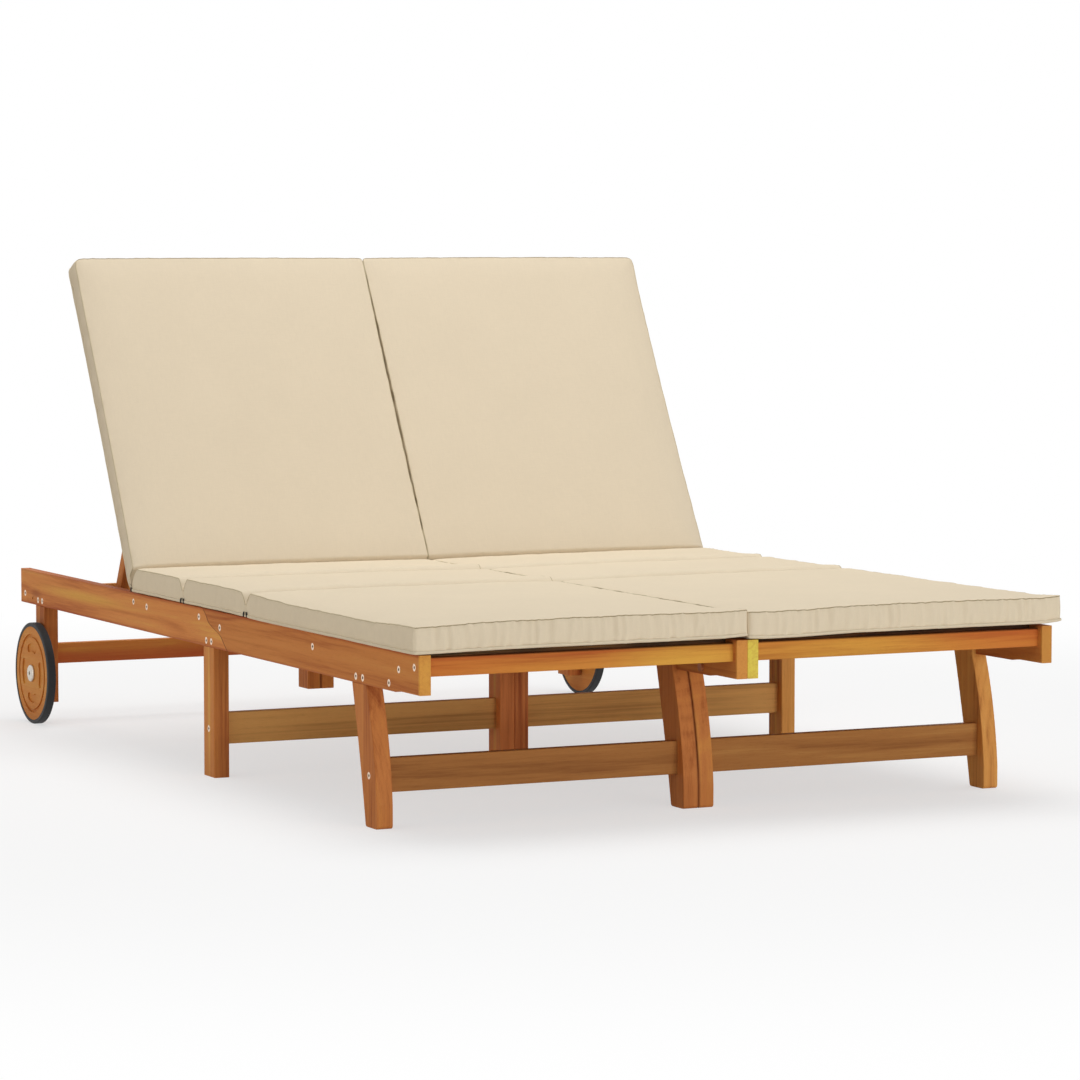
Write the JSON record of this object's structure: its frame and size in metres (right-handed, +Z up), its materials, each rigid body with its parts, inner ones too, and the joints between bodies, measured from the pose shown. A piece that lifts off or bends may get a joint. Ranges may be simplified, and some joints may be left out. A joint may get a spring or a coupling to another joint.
{
  "type": "double chaise lounger",
  "caption": "Wooden twin sun lounger with separate hinged backrests on folding props, sewn fabric cushions in segments, curved front legs and wheels at the head end.",
  "frame": {"origin": "on the floor, under the middle of the whole object's box", "axes": "+X across from the left lounger to the right one, +Y from the foot end to the head end, +Z up"},
  "size_m": [1.2662, 2, 0.9444],
  "materials": {
    "frame_wood": "oiled hardwood with fine streaks",
    "slat_wood": "oiled hardwood",
    "cushion_fabric": "plain woven canvas",
    "band_rubber": "matte",
    "fitting_steel": "satin"
  },
  "bodies": {
    "frame": {"axle_bolts": "fitting_steel", "frame_screws": "fitting_steel", "head_crossbars": "frame_wood", "hinge_bolts": "fitting_steel", "joining_bolts": "fitting_steel", "left_foot_crossbar": "frame_wood", "left_front_stretcher": "frame_wood", "left_inner_front_leg": "frame_wood", "left_inner_mid_leg": "frame_wood", "left_inner_rail_front": "frame_wood", "left_inner_rail_rear": "frame_wood", "left_inner_rear_leg": "frame_wood", "left_mid_stretcher": "frame_wood", "left_outer_front_leg": "frame_wood", "left_outer_mid_leg": "frame_wood", "left_outer_rail_front": "frame_wood", "left_outer_rail_rear": "frame_wood", "left_outer_rear_leg": "frame_wood", "left_rear_stretcher": "frame_wood", "left_seat_cushion": "cushion_fabric", "left_seat_slats": "slat_wood", "ratchet_boards": "slat_wood", "right_foot_crossbar": "frame_wood", "right_front_stretcher": "frame_wood", "right_inner_front_leg": "frame_wood", "right_inner_mid_leg": "frame_wood", "right_inner_rail_front": "frame_wood", "right_inner_rail_rear": "frame_wood", "right_inner_rear_leg": "frame_wood", "right_mid_stretcher": "frame_wood", "right_outer_front_leg": "frame_wood", "right_outer_mid_leg": "frame_wood", "right_outer_rail_front": "frame_wood", "right_outer_rail_rear": "frame_wood", "right_outer_rear_leg": "frame_wood", "right_rear_stretcher": "frame_wood", "right_seat_cushion": "cushion_fabric", "right_seat_slats": "slat_wood", "seat_end_crossbars": "frame_wood", "slat_cleats": "slat_wood", "wheel_washers": "fitting_steel"},
    "left_backrest": {"left_back_cushion": "cushion_fabric", "left_backrest_slats": "slat_wood", "left_inner_backrest_stile": "frame_wood", "left_outer_backrest_stile": "frame_wood", "left_prop_pivot_bolts": "fitting_steel"},
    "right_backrest": {"right_back_cushion": "cushion_fabric", "right_backrest_slats": "slat_wood", "right_inner_backrest_stile": "frame_wood", "right_outer_backrest_stile": "frame_wood", "right_prop_pivot_bolts": "fitting_steel"},
    "left_prop": {"left_prop_foot_bar": "frame_wood", "left_prop_struts": "frame_wood"},
    "right_prop": {"right_prop_foot_bar": "frame_wood", "right_prop_struts": "frame_wood"},
    "left_wheel": {"left_wheel_disc": "frame_wood", "left_wheel_tyre": "band_rubber"},
    "right_wheel": {"right_wheel_disc": "frame_wood", "right_wheel_tyre": "band_rubber"}
  },
  "joints": [
    {"name": "left_recline", "type": "hinge", "parent": "frame", "child": "left_backrest", "pos_m": [-0.304, 0.336, 0.291], "axis": [1, 0, 0], "range_deg": [-61, 3]},
    {"name": "left_prop_swing", "type": "hinge", "parent": "left_backrest", "child": "left_prop", "pos_m": [-0.304, 0.44903, 0.47737], "axis": [1, 0, 0], "range_deg": [-6.5, 122.5]},
    {"name": "left_wheel_spin", "type": "hinge", "parent": "frame", "child": "left_wheel", "pos_m": [-0.62, 0.878, 0.103], "axis": [1, 0, 0], "continuous": true},
    {"name": "right_recline", "type": "hinge", "parent": "frame", "child": "right_backrest", "pos_m": [0.304, 0.336, 0.291], "axis": [1, 0, 0], "range_deg": [-61, 3]},
    {"name": "right_prop_swing", "type": "hinge", "parent": "right_backrest", "child": "right_prop", "pos_m": [0.304, 0.44903, 0.47737], "axis": [1, 0, 0], "range_deg": [-6.5, 122.5]},
    {"name": "right_wheel_spin", "type": "hinge", "parent": "frame", "child": "right_wheel", "pos_m": [0.62, 0.878, 0.103], "axis": [1, 0, 0], "continuous": true}
  ],
  "couplings": [
    {"joint": "left_prop_swing", "follows": "left_recline", "ratio": -2},
    {"joint": "right_prop_swing", "follows": "right_recline", "ratio": -2}
  ]
}
